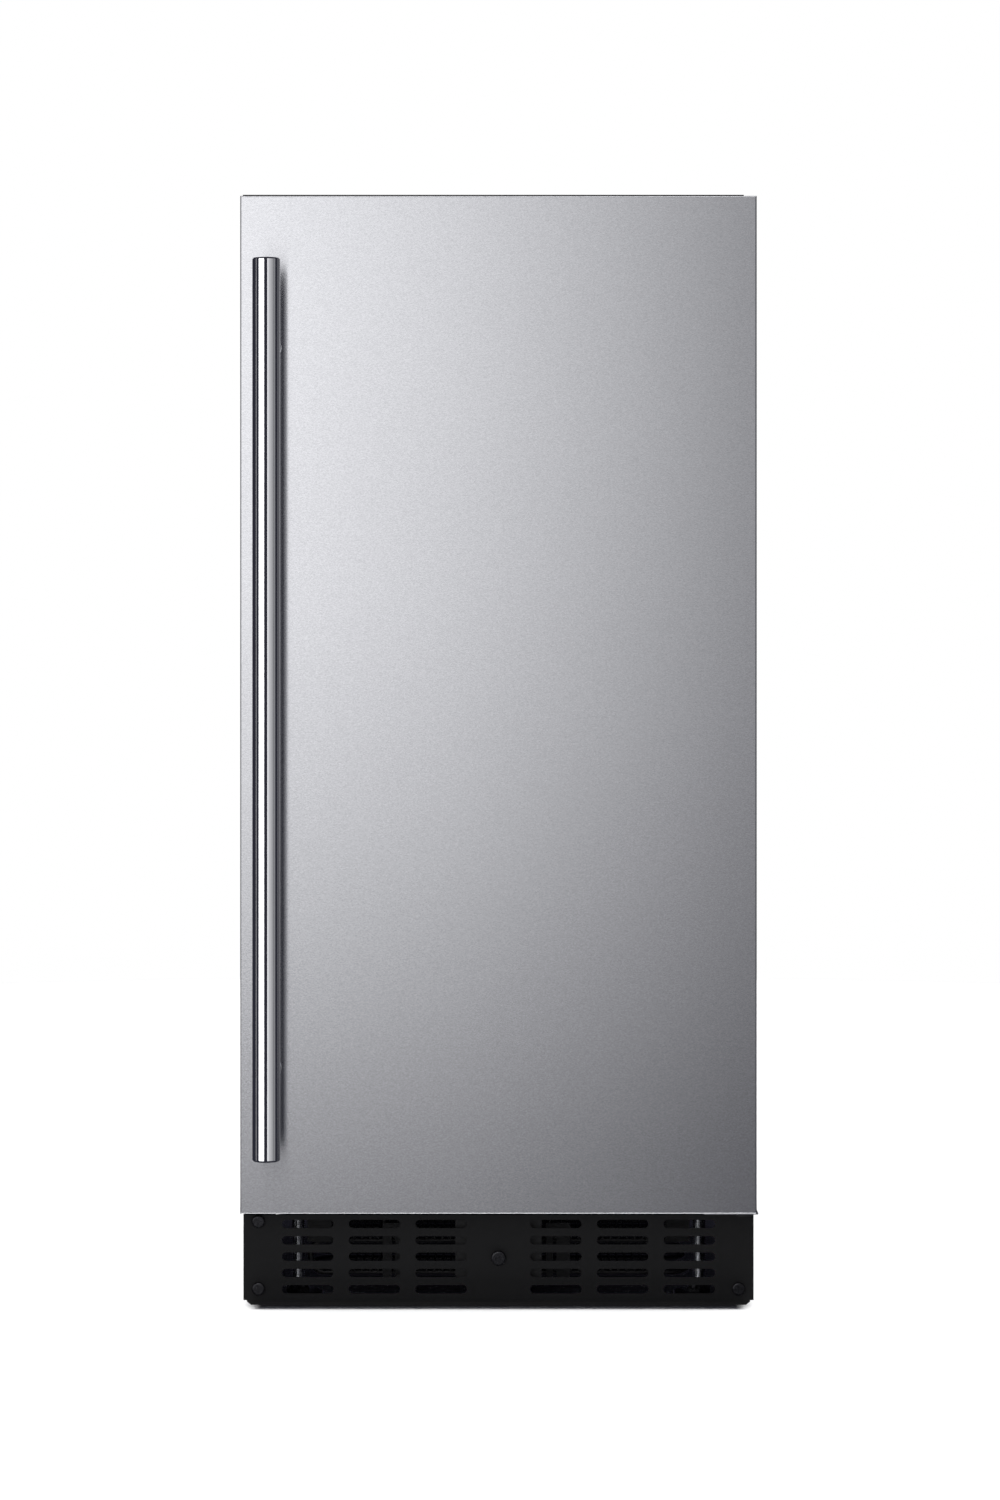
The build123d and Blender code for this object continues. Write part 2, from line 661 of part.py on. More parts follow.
def evaporator_cover():
    """Moulded air duct cover on the cavity's rear wall with return and supply grilles."""
    z = (316, 754)
    cover = slab((-134, 134), (COVER_Y, CAVITY_REAR), z)
    cover = fillet(cover.edges().filter_by(Axis.Z).sort_by(Axis.Y)[:2], 6)
    cover -= slab((-132, 132), (COVER_Y + 2, CAVITY_REAR + 1), (z[0] + 2, z[1] - 2))
    for cutter in louvres((-70, 0, 70), [326, 335], 52, 4, (COVER_Y - 1, COVER_Y + 3)):
        cover -= cutter
    for cutter in louvres((-70, 0, 70), [734, 743], 52, 4, (COVER_Y - 1, COVER_Y + 3)):
        cover -= cutter
    for radius in (12, 22, 32):
        ring = rod_y(0, EVAP_FAN_Z, (COVER_Y - 1, COVER_Y + 3), radius + 3)
        ring -= rod_y(0, EVAP_FAN_Z, (COVER_Y - 2, COVER_Y + 4), radius - 2)
        ring -= slab((-40, 40), (COVER_Y - 2, COVER_Y + 4), (EVAP_FAN_Z - 1.5, EVAP_FAN_Z + 1.5))
        ring -= slab((-1.5, 1.5), (COVER_Y - 2, COVER_Y + 4), (EVAP_FAN_Z - 40, EVAP_FAN_Z + 40))
        cover -= ring
    return cover


def evaporator_coil():
    """Serpentine tube with aluminium fin plates threaded on it."""
    points = []
    for i, z in enumerate(EVAP_PASSES):
        ends = (-112, 112) if i % 2 == 0 else (112, -112)
        points += [(x, EVAP_Y, z) for x in ends]
    path = FilletPolyline(points, radius=15)
    tube = sweep(Plane(path @ 0, z_dir=path % 0) * Circle(3.5), path=path)
    sheet = slab((-0.25, 0.25), (COVER_Y + 4, CAVITY_REAR), (EVAP_PASSES[0] - 12, EVAP_PASSES[-1] + 14))
    for z in EVAP_PASSES:
        sheet -= rod_x(EVAP_Y, z, (-2, 2), 3.5)
    return group([tube] + [Pos(-88 + 8 * i, 0, 0) * sheet for i in range(23)])


def evaporator_fan_motor():
    motor = rod_y(0, EVAP_FAN_Z, (COVER_Y + 22, CAVITY_REAR), 18)
    return motor + rod_y(0, EVAP_FAN_Z, (COVER_Y + 12, COVER_Y + 23), 1.45)


def evaporator_fan_blade():
    return axial_fan(0, EVAP_FAN_Z, (COVER_Y + 7, COVER_Y + 19), EVAP_FAN_R, 13, 1.5, 5, 34)


# ---------------------------------------------------------------- hinges
def bracket_screw_places():
    return [(166, -196), (180, -184), (166, -172)]


def bracket_plate(z):
    """Steel hinge plate, rounded at the pin and squared off over the cabinet."""
    outline = Polyline(
        [(158, -160), (158, -214), (171.6, HINGE_Y), (187.4, HINGE_Y), (187.4, -160)],
        close=True,
    )
    plate = Pos(0, 0, z[0]) * extrude(make_face(outline), amount=z[1] - z[0])
    return plate + rod_z(HINGE_X, HINGE_Y, z, 7.9)


def hinge_bracket_top():
    """Plate screwed to the cabinet top, with its pin riveted in and pointing down."""
    z = (CABINET_TOP, CABINET_TOP + 3)
    plate = bracket_plate(z)
    for x, y in bracket_screw_places():
        plate -= Pos(x, y, z[1] - 1.25) * Cone(2.0, 4.5, 2.5)
        plate -= rod_z(x, y, (z[0] - 1, z[1]), 2.0)
    pin = rod_z(HINGE_X, HINGE_Y, (z[0] - 17, z[0] + 1), PIN_R)
    return plate + chamfer(pin.edges().filter_by(GeomType.CIRCLE).sort_by(Axis.Z)[0], 1)


def hinge_bracket_bottom():
    """Plate screwed under the pan, with its pin pointing up."""
    z = (PAN_BOTTOM - 3, PAN_BOTTOM)
    plate = bracket_plate(z)
    for x, y in bracket_screw_places():
        plate -= rod_z(x, y, (z[0] - 1, z[1] + 1), 2.0)
    pin = rod_z(HINGE_X, HINGE_Y, (z[1] - 1, z[1] + 16), PIN_R)
    return plate + chamfer(pin.edges().filter_by(GeomType.CIRCLE).sort_by(Axis.Z)[-1], 1)


def hinge_screws():
    """Countersunk screws in the top bracket and cap screws under the bottom one."""
    screws = []
    for x, y in bracket_screw_places():
        screw = Pos(x, y, CABINET_TOP + 1.75) * Cone(2.0, 4.5, 2.5)
        screw += rod_z(x, y, (CABINET_TOP - SHEET, CABINET_TOP + 1), 2.0)
        slot_z = (CABINET_TOP + 2, CABINET_TOP + 4)
        screw -= slab((x - 2.4, x + 2.4), (y - 0.5, y + 0.5), slot_z)
        screw -= slab((x - 0.5, x + 0.5), (y - 2.4, y + 2.4), slot_z)
        screws.append(screw)
        head = rod_z(x, y, (PAN_BOTTOM - 6, PAN_BOTTOM - 3), 4.0)
        screws.append(head + rod_z(x, y, (PAN_BOTTOM - 3.1, PAN_TOP), 2.0))
    return group(screws)


# ---------------------------------------------------------------- door
def door_skin():
    """Folded stainless front: face, full-depth sides and short returns along top and bottom."""
    half = DOOR_WIDTH / 2
    z = (DOOR_BOTTOM, DOOR_TOP)
    block = slab((-half, half), (DOOR_FRONT, DOOR_REAR), z)
    front_edges = [e for e in block.edges() if abs(e.center().Y - DOOR_FRONT) < 0.01]
    block = fillet(front_edges, EDGE_ROUND)
    inner = slab(
        (-half + SKIN, half - SKIN),
        (DOOR_FRONT + SKIN, DOOR_REAR + 1),
        (z[0] + SKIN, z[1] - SKIN),
    )
    skin = block - inner
    for end in (z[0], z[1] - SKIN):
        behind = slab((-half + SKIN, half - SKIN), (DOOR_FRONT + 12, DOOR_REAR + 1), (end - 1, end + SKIN + 1))
        skin -= behind
    notch = slab((half - 2, half + 1), (-258, DOOR_REAR + 1), (CABINET_TOP - 0.6, DOOR_TOP - SKIN))
    notch += slab((156, half + 1), (DOOR_FRONT + 12, DOOR_REAR + 1), (CABINET_TOP - 0.6, DOOR_TOP + 1))
    skin -= notch
    for z in post_heights():
        skin -= rod_y(BAR_X, z, (DOOR_FRONT - 1, DOOR_FRONT + 2), 2.6)
    return skin


def cap_half():
    return DOOR_WIDTH / 2 - SKIN - 0.05


def door_top_cap():
    """Moulded end cap, lowered at the hinge corner so that the bracket can enter."""
    half = cap_half()
    y = (DOOR_FRONT + 12, DOOR_REAR)
    cap = slab((-half, 156), y, (798, DOOR_TOP + CAP_PROUD))
    cap -= slab((-half + 2, 154), (y[0] + 2, y[1] - 2), (797, DOOR_TOP + CAP_PROUD - 2.4))
    cap += slab((156, half), y, (796, CABINET_TOP - 0.6))
    cap += slab((-half + 1, HINGE_X), (DOOR_FRONT + 1, y[0]), (DOOR_TOP, DOOR_TOP + CAP_PROUD))
    return cap - rod_z(HINGE_X, HINGE_Y, (790, 820), PIN_BORE)


def door_bottom_cap():
    half = cap_half()
    y = (DOOR_FRONT + 12, DOOR_REAR)
    cap = slab((-half, half), y, (DOOR_BOTTOM, 92))
    cap -= slab((-half + 2, 156), (y[0] + 2, y[1] - 2), (DOOR_BOTTOM + 2.4, 93))
    return cap - rod_z(HINGE_X, HINGE_Y, (70, 95), PIN_BORE)


def door_stop_plate():
    """Thin steel leaf under the door that meets the bracket at full opening."""
    plate = slab((150, 190.3), (DOOR_FRONT + 2, DOOR_REAR - 4), (PAN_BOTTOM + 0.2, DOOR_BOTTOM))
    plate = fillet(plate.edges().filter_by(Axis.Z), 2)
    return plate - rod_z(HINGE_X, HINGE_Y, (70, 75), PIN_R + 0.3)


def door_foam():
    """Insulation inside the door, between the skin, the caps and the liner."""
    half = DOOR_WIDTH / 2 - SKIN
    y0 = DOOR_FRONT + SKIN
    y1 = DOOR_FRONT + 12
    foam = slab((-half, half), (y1, DOOR_REAR), (92, 796))
    foam += slab((-half, half), (y0, y1), (DOOR_BOTTOM + SKIN, DOOR_TOP - SKIN))
    foam -= slab((150, half + 1), (-259, y1 + 1), (CABINET_TOP - 0.6, DOOR_TOP))
    for z in post_heights():
        foam -= rod_y(BAR_X, z, (y0 - 1, y0 + 16), 9)
    return foam


def door_liner():
    """Formed inner panel with the two upright ridges that carry the bins."""
    half = DOOR_WIDTH / 2 - 1
    rear = DOOR_REAR + 2
    panel = slab((-half, half), (DOOR_REAR, rear), (DOOR_BOTTOM + 1, CABINET_TOP - 3))
    for side in (-1, 1):
        x = sorted((side * RIDGE_X[0], side * RIDGE_X[1]))
        ridge = slab(x, (DOOR_REAR, RIDGE_REAR), RIDGE_Z)
        soft = [e for e in ridge.edges() if e.center().Y > rear + 1]
        ridge = fillet(soft, 5)
        hollow = slab((x[0] + 2, x[1] - 2), (DOOR_REAR - 1, RIDGE_REAR - 2), (RIDGE_Z[0] + 2, RIDGE_Z[1] - 2))
        panel += ridge
        panel -= hollow
    return panel


def door_gasket():
    """Magnetic seal around the door's inner panel."""
    y = (DOOR_REAR + 2, GASKET_REAR)
    outer = slab((-GASKET_OUTER, GASKET_OUTER), y, GASKET_Z)
    inner = slab((-GASKET_INNER, GASKET_INNER), (y[0] - 1, y[1] + 1), (GASKET_Z[0] + 18, GASKET_Z[1] - 18))
    outer = fillet([e for e in outer.edges() if abs(e.center().Y - y[1]) < 0.01], 2.5)
    return outer - inner


def door_bin(level):
    """Open-topped moulded bin between the ridges."""
    z0, height = BIN_LEVELS[level]
    y = (DOOR_REAR + 2, BIN_REAR)
    half = RIDGE_X[0] - 0.5
    shell = slab((-half, half), y, (z0, z0 + height))
    shell = fillet(shell.edges().filter_by(Axis.Z).sort_by(Axis.Y)[-2:], 16)
    hollow = slab((-half + 2.5, half - 2.5), (y[0] + 2.5, y[1] - 2.5), (z0 + 2.5, z0 + height + 1))
    hollow = fillet(hollow.edges().filter_by(Axis.Z).sort_by(Axis.Y)[-2:], 13.5)
    front_cut = slab((-half + 30, half - 30), (BIN_REAR - 10, BIN_REAR + 1), (z0 + height - 14, z0 + height + 1))
    return shell - hollow - front_cut


def bin_rails():
    """Chromed rods across the tops of the bins, seated in the ridges."""
    rods = []
    for z0, height in BIN_LEVELS.values():
        rods.append(rod_x(BIN_REAR - 35, z0 + height + 26, (-RIDGE_X[0], RIDGE_X[0]), 2.5))
    return group(rods)


def post_heights():
    return [BAR_Z[0] + POST_INSET, BAR_Z[1] - POST_INSET]


def handle_bar():
    bar = rod_z(BAR_X, BAR_Y, BAR_Z, BAR_R)
    return fillet(bar.edges().filter_by(GeomType.CIRCLE), 0.8)


def handle_posts():
    """Turned posts dished to the bar, each with the stud and washer that pull it onto the skin."""
    pieces = []
    for z in post_heights():
        post = rod_y(BAR_X, z, (BAR_Y, DOOR_FRONT), POST_R) + rod_y(BAR_X, z, (DOOR_FRONT - 3, DOOR_FRONT), 8)
        post -= rod_z(BAR_X, BAR_Y, (z - 20, z + 20), BAR_R)
        pieces.append(post - rod_y(BAR_X, z, (DOOR_FRONT - 14, DOOR_FRONT + 1), 2.5))
        stud = rod_y(BAR_X, z, (DOOR_FRONT - 14, DOOR_FRONT + SKIN + 10), 2.5)
        pieces.append(stud + rod_y(BAR_X, z, (DOOR_FRONT + SKIN, DOOR_FRONT + SKIN + 3), 9))
    return group(pieces)


# ---------------------------------------------------------------- interior furniture
def shelf_glass(level):
    top = SHELF_LEVELS[level]
    pane = slab((-SHELF_HALF, SHELF_HALF), (SHELF_FRONT, SHELF_REAR), (top, top + GLASS))
    return fillet(pane.edges().filter_by(Axis.Z), 6)


def shelf_trims(level):
    """Front and rear mouldings that grip the edges of the glass."""
    top = SHELF_LEVELS[level]
    trims = []
    front = slab((-SHELF_HALF, SHELF_HALF), (SHELF_FRONT - 4, SHELF_FRONT + 8), (top - 3, top + GLASS + 3))
    rear = slab((-132, 132), (SHELF_REAR - 6, SHELF_REAR + 4), (top - 1.6, top + GLASS + 12))
    for bar in (front, rear):
        bar = fillet(bar.edges().filter_by(Axis.X), 0.7)
        trims.append(bar - shelf_glass(level))
    return group(trims)


def crisper_drawer():
    """Clear open-topped drawer with a finger lip along the front."""
    half = CRISPER_HALF
    y, z = CRISPER_Y, CRISPER_Z
    shell = slab((-half, half), y, z)
    shell = fillet(shell.edges().filter_by(Axis.Z), 10)
    hollow = slab((-half + 2.5, half - 2.5), (y[0] + 2.5, y[1] - 2.5), (z[0] + 2.5, z[1] + 1))
    shell -= fillet(hollow.edges().filter_by(Axis.Z), 7.5)
    grip = slab((-60, 60), (y[0] - 9, y[0] + 1), (z[1] - 22, z[1] - 4))
    grip -= slab((-57, 57), (y[0] - 7, y[0]), (z[1] - 23, z[1] - 7))
    return shell + grip


def control_housing():
    """Ceiling pod with the dial on its front face and the lamp below."""
    y = CONTROL_Y
    outline = [
        (y[0], CAVITY_CEILING),
        (y[0], CONTROL_BOTTOM + 6),
        (y[0] + 8, CONTROL_BOTTOM),
        (y[1] - 18, CONTROL_BOTTOM),
        (y[1], CAVITY_CEILING - 8),
        (y[1], CAVITY_CEILING),
    ]
    pod = side_profile(outline, 62)
    pod -= slab((-26, 46), (y[0] + 10, y[1] - 20), (CONTROL_BOTTOM - 1, CONTROL_BOTTOM + 12))
    return pod - rod_y(-44, 761, (y[0] - 1, y[0] + 10), 3.1)


def lamp():
    """Light-emitting strip with its clear lens below."""
    y = CONTROL_Y
    board = slab((-24, 44), (y[0] + 12, y[1] - 22), (CONTROL_BOTTOM + 10.4, CONTROL_BOTTOM + 12))
    for i in range(6):
        x = -16 + 10.4 * i
        board += slab((x, x + 4), (y[0] + 22, y[0] + 26), (CONTROL_BOTTOM + 9, CONTROL_BOTTOM + 10.4))
    lens = slab((-26, 46), (y[0] + 10, y[1] - 20), (CONTROL_BOTTOM, CONTROL_BOTTOM + 2.5))
    return group([board, lens])


def thermostat_knob():
    """Dial with a grip bar, on a shaft that turns in the pod."""
    x, z, y0 = -44, 761, CONTROL_Y[0]
    radius = 8.4
    dial = rod_y(x, z, (y0 - 6, y0 - 0.3), radius)
    dial = fillet(dial.edges().filter_by(GeomType.CIRCLE).sort_by(Axis.Y)[0], 1)
    grip = slab((x - 2, x + 2), (y0 - 13, y0 - 5.5), (z - radius + 1, z + radius - 1))
    return dial + grip + rod_y(x, z, (y0 - 1, y0 + 8), 3.05)


# ---------------------------------------------------------------- write every node
def nodes():
    made = {
        "side_panel_left": side_panel_left(),
        "side_panel_right": mirrored_x(side_panel_left()),
        "top_panel": top_panel(),
        "floor_pan": floor_pan(),
        "rear_panel": rear_panel(),
        "inner_liner": inner_liner(),
        "foam_insulation": foam_insulation(),
        "base_brackets": group(leg_brackets() + kick_side_brackets() + [kick_centre_bracket()]),
        "base_tray": base_tray(),
        "kick_plate": kick_plate(),
        "panel_screws": group(kick_screws() + machine_cover_screws()),
        "kick_bolt": kick_bolt(),
        "machine_cover": machine_cover(),
        "rear_bumpers": rear_bumpers(),
        "cord_gland": cord_gland(),
        "condenser_tube": condenser_tube(),
        "condenser_wires": condenser_wires(),
        "condenser_hangers": condenser_hangers(),
        "fan_shroud": fan_shroud(),
        "condenser_fan_blade": condenser_fan_blade(),
        "condenser_fan_motor": condenser_fan_motor(),
        "compressor": compressor(),
        "compressor_mounts": compressor_mounts(),
        "compressor_terminal_cover": compressor_terminal_cover(),
        "refrigerant_lines": refrigerant_lines(),
        "filter_drier": filter_drier(),
        "drain_tube": drain_tube(),
        "drain_tray": drain_tray(),
        "evaporator_cover": evaporator_cover(),
        "evaporator_coil": evaporator_coil(),
        "evaporator_fan_motor": evaporator_fan_motor(),
        "evaporator_fan_blade": evaporator_fan_blade(),
        "hinge_brackets": group([hinge_bracket_top(), hinge_bracket_bottom()]),
        "hinge_screws": hinge_screws(),
        "door_skin": door_skin(),
        "door_top_cap": door_top_cap(),
        "door_bottom_cap": door_bottom_cap(),
        "door_stop_plate": door_stop_plate(),
        "door_foam": door_foam(),
        "door_liner": door_liner(),
        "door_gasket": door_gasket(),
        "door_bin_lower": door_bin("lower"),
        "door_bins_upper": group([door_bin("middle"), door_bin("upper")]),
        "bin_rails": bin_rails(),
        "handle_bar": handle_bar(),
        "handle_posts": handle_posts(),
        "crisper_drawer": crisper_drawer(),
        "control_housing": control_housing(),
        "lamp": lamp(),
        "thermostat_knob": thermostat_knob(),
    }
    for level in SHELF_LEVELS:
        made[f"shelf_{level}_glass"] = shelf_glass(level)
        made[f"shelf_{level}_trims"] = shelf_trims(level)
    for side, x in (("left", -LEG_X), ("right", LEG_X)):
        made[f"leg_front_{side}"] = levelling_leg(x, LEG_FRONT_Y, PAN_BOTTOM - 0.4)
        made[f"leg_rear_{side}"] = levelling_leg(x, LEG_REAR_Y, TRAY_Z[1] + 18)
    return made


if __name__ == "__main__":
    os.makedirs("parts", exist_ok=True)
    for name, shape in nodes().items():
        export_step(shape, f"parts/{name}.step")
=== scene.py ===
"""Looks of the undercounter refrigerator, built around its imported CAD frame. Metres, +Z up, front -Y."""

import json
import math

import bmesh
import bpy
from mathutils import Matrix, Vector


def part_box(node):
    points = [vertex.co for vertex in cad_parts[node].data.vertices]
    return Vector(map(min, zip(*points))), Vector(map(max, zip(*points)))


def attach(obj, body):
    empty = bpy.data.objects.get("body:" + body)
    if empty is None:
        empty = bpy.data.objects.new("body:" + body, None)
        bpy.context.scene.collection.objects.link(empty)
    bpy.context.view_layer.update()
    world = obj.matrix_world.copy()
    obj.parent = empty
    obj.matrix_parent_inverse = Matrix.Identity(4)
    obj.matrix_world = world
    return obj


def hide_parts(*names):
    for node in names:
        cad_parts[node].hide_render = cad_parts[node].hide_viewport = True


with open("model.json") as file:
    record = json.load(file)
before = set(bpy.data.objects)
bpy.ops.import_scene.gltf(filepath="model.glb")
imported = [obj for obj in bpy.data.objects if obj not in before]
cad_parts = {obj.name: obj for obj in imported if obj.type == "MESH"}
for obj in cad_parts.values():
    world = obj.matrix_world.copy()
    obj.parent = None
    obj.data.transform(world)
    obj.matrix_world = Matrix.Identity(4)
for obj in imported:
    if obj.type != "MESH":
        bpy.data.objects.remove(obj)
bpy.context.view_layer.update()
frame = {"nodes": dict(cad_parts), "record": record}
NODES = frame["nodes"]
MM = 0.001
BAR_X = -167.0 * MM
BAR_Y = -316.0 * MM

# Brightness of the front softbox over its width and its height: (part of the side, brightness).
FRONT_ACROSS = ((0.25, 0.90), (0.34, 0.82), (0.47, 0.63), (0.66, 0.275), (0.80, 0.15))
FRONT_UPWARD = ((0.12, 0.03), (0.25, 0.26), (0.42, 0.77), (0.50, 0.95), (0.56, 1.0))


# ---------------------------------------------------------------- node helpers
def new_material(name):
    """A material with its node tree and its Principled shader."""
    material = bpy.data.materials.new(name)
    material.use_nodes = True
    tree = material.node_tree
    shader = tree.nodes["Principled BSDF"]
    return material, tree, shader


def set_inputs(shader, **values):
    """Sets shader inputs by name, with an underscore for each space."""
    for name, value in values.items():
        shader.inputs[name.replace("_", " ")].default_value = value


def noise(tree, scale, stretch=(1, 1, 1), detail=2.0, roughness=0.5):
    """Noise in object space, stretched per axis, so its grain has a real size."""
    coordinates = tree.nodes.new("ShaderNodeTexCoord")
    mapping = tree.nodes.new("ShaderNodeMapping")
    mapping.inputs["Scale"].default_value = stretch
    texture = tree.nodes.new("ShaderNodeTexNoise")
    texture.inputs["Scale"].default_value = scale
    texture.inputs["Detail"].default_value = detail
    texture.inputs["Roughness"].default_value = roughness
    tree.links.new(coordinates.outputs["Object"], mapping.inputs["Vector"])
    tree.links.new(mapping.outputs["Vector"], texture.inputs["Vector"])
    return texture.outputs["Fac"]


def spread(tree, source, low, high, start=0.3, end=0.7):
    """Maps a noise value to a range of numbers."""
    node = tree.nodes.new("ShaderNodeMapRange")
    node.inputs["From Min"].default_value = start
    node.inputs["From Max"].default_value = end
    node.inputs["To Min"].default_value = low
    node.inputs["To Max"].default_value = high
    tree.links.new(source, node.inputs["Value"])
    return node.outputs["Result"]


def ramp(tree, source, dark, light, start=0.3, end=0.7):
    """Maps a noise value to a blend of two colours."""
    node = tree.nodes.new("ShaderNodeValToRGB")
    node.color_ramp.elements[0].position = start
    node.color_ramp.elements[0].color = (*dark, 1)
    node.color_ramp.elements[1].position = end
    node.color_ramp.elements[1].color = (*light, 1)
    tree.links.new(source, node.inputs["Fac"])
    return node.outputs["Color"]


def bump(tree, shader, source, depth, strength=1.0):
    """Turns a noise value into relief of a given depth in metres."""
    node = tree.nodes.new("ShaderNodeBump")
    node.inputs["Strength"].default_value = strength
    node.inputs["Distance"].default_value = depth
    tree.links.new(source, node.inputs["Height"])
    tree.links.new(node.outputs["Normal"], shader.inputs["Normal"])


def surface(name, dark, light, rough, grain, depth, stretch=(1, 1, 1), metallic=0.0, **inputs):
    """A surface whose colour, roughness and relief all vary with one noise grain."""
    material, tree, shader = new_material(name)
    set_inputs(shader, Metallic=metallic, **inputs)
    value = noise(tree, grain, stretch)
    tree.links.new(ramp(tree, value, dark, light), shader.inputs["Base Color"])
    tree.links.new(spread(tree, value, *rough), shader.inputs["Roughness"])
    bump(tree, shader, value, depth)
    return material


# ---------------------------------------------------------------- materials
def brushed_stainless():
    """Horizontally brushed sheet: fine level streaks, and a broad mottle in the roughness."""
    material, tree, shader = new_material("brushed_stainless")
    set_inputs(shader, Metallic=1.0, Anisotropic=1.0, Anisotropic_Rotation=0.25)
    streaks = noise(tree, 1.0, (900, 900, 2400), detail=2.0)
    mottle = noise(tree, 14.0, (0.4, 1, 1), detail=3.0)
    colour = ramp(tree, streaks, (0.505, 0.509, 0.528), (0.745, 0.748, 0.775), 0.2, 0.8)
    tree.links.new(colour, shader.inputs["Base Color"])
    tree.links.new(spread(tree, mottle, 0.155, 0.17), shader.inputs["Roughness"])
    tangent = tree.nodes.new("ShaderNodeTangent")
    tangent.direction_type = "RADIAL"
    tangent.axis = "Z"
    tree.links.new(tangent.outputs["Tangent"], shader.inputs["Tangent"])
    bump(tree, shader, streaks, 0.004 * MM, 0.5)
    return material


def polished_bar():
    """Polished tube with faint draw marks along its length."""
    material, tree, shader = new_material("polished_bar")
    set_inputs(shader, Metallic=1.0)
    streaks = noise(tree, 1.0, (2400, 2400, 30), detail=2.0)
    colour = ramp(tree, streaks, (0.74, 0.745, 0.765), (0.80, 0.805, 0.825))
    tree.links.new(colour, shader.inputs["Base Color"])
    tree.links.new(spread(tree, streaks, 0.05, 0.09), shader.inputs["Roughness"])
    bump(tree, shader, streaks, 0.001 * MM, 0.4)
    return material


def powder_coat(name, colour, rough=(0.42, 0.52), specular=0.4):
    """Matt paint with a fine orange-peel relief."""
    dark = tuple(c * 0.85 for c in colour)
    light = tuple(c * 1.15 for c in colour)
    return surface(name, dark, light, rough, 900.0, 0.03 * MM, Specular_IOR_Level=specular)


def galvanised_sheet():
    """Zinc-coated sheet with large soft spangles."""
    material, tree, shader = new_material("galvanised_sheet")
    set_inputs(shader, Metallic=1.0)
    cells = tree.nodes.new("ShaderNodeTexVoronoi")
    cells.inputs["Scale"].default_value = 110.0
    coordinates = tree.nodes.new("ShaderNodeTexCoord")
    tree.links.new(coordinates.outputs["Object"], cells.inputs["Vector"])
    separate = tree.nodes.new("ShaderNodeSeparateColor")
    tree.links.new(cells.outputs["Color"], separate.inputs["Color"])
    spangle = separate.outputs["Red"]
    colour = ramp(tree, spangle, (0.42, 0.43, 0.45), (0.58, 0.59, 0.61), 0.0, 1.0)
    tree.links.new(colour, shader.inputs["Base Color"])
    tree.links.new(spread(tree, spangle, 0.36, 0.52, 0.0, 1.0), shader.inputs["Roughness"])
    bump(tree, shader, spangle, 0.01 * MM, 0.3)
    return material


def clear_moulding(name, colour, rough=0.08):
    """Clear styrene: mostly transmitting, with faint flow marks."""
    material, tree, shader = new_material(name)
    set_inputs(shader, Base_Color=(*colour, 1), IOR=1.5, Transmission_Weight=0.92)
    flow = noise(tree, 30.0, (1, 1, 0.3), detail=2.0)
    tree.links.new(spread(tree, flow, rough, rough + 0.06), shader.inputs["Roughness"])
    bump(tree, shader, flow, 0.05 * MM, 0.3)
    return material


def make_materials():
    """Every material, by the name of its slot."""
    return {
        "stainless": brushed_stainless(),
        "polished_steel": polished_bar(),
        "black_steel": powder_coat("cabinet_black", (0.013, 0.013, 0.014)),
        "kick_black": powder_coat("kick_plate_black", (0.0058, 0.0058, 0.0064), (0.5, 0.62), 0.2),
        "galvanised": galvanised_sheet(),
        "zinc": surface("bright_zinc", (0.66, 0.67, 0.69), (0.8, 0.81, 0.83), (0.16, 0.28), 700, 0.02 * MM,
                        metallic=1.0),
        "black_bolt": surface("black_oxide", (0.030, 0.030, 0.033), (0.060, 0.060, 0.065), (0.16, 0.28), 600,
                              0.01 * MM, metallic=0.9),
        "white_liner": surface("white_liner", (0.80, 0.81, 0.81), (0.84, 0.85, 0.85), (0.28, 0.36), 260,
                               0.02 * MM),
        "black_plastic": surface("black_moulding", (0.014, 0.014, 0.015), (0.022, 0.022, 0.023),
                                 (0.42, 0.55), 1400, 0.02 * MM),
        "grey_plastic": surface("grey_moulding", (0.36, 0.37, 0.39), (0.42, 0.43, 0.45), (0.35, 0.45), 900,
                                0.02 * MM),
        "foam": surface("insulation_foam", (0.70, 0.60, 0.36), (0.82, 0.73, 0.48), (0.85, 0.95), 420,
                        0.3 * MM),
        "black_rubber": surface("black_rubber", (0.010, 0.010, 0.010), (0.020, 0.020, 0.020),
                                (0.6, 0.75), 700, 0.04 * MM),
        "gasket_rubber": surface("gasket_vinyl", (0.10, 0.10, 0.105), (0.14, 0.14, 0.145), (0.45, 0.58), 500,
                                 0.03 * MM),
        "black_tube": surface("condenser_paint", (0.008, 0.008, 0.009), (0.016, 0.016, 0.017),
                              (0.28, 0.42), 500, 0.02 * MM),
        "copper": surface("copper_tube", (0.55, 0.24, 0.13), (0.76, 0.38, 0.22), (0.22, 0.4), 160, 0.02 * MM,
                          metallic=1.0),
        "aluminium": surface("fin_aluminium", (0.72, 0.73, 0.74), (0.84, 0.85, 0.86), (0.25, 0.38), 300,
                             0.01 * MM, metallic=1.0),
        "compressor_black": surface("compressor_paint", (0.012, 0.012, 0.013), (0.024, 0.024, 0.025),
                                    (0.24, 0.38), 380, 0.05 * MM),
        "clear_plastic": clear_moulding("clear_styrene", (0.93, 0.96, 0.97)),
        "glass": clear_moulding("shelf_glass", (0.86, 0.95, 0.92), 0.01),
        "chrome_wire": surface("chromed_rod", (0.80, 0.80, 0.82), (0.86, 0.86, 0.88), (0.06, 0.12), 400,
                               0.005 * MM, metallic=1.0),
        "lens": clear_moulding("lamp_lens", (0.96, 0.96, 0.94), 0.35),
    }


def dress_frame(materials):
    """Gives every CAD node the material of its own slot."""
    for entry in frame["record"]["subparts"]:
        node = NODES[entry["node"]]
        node.data.materials.clear()
        node.data.materials.append(materials[entry["material_slot"]])


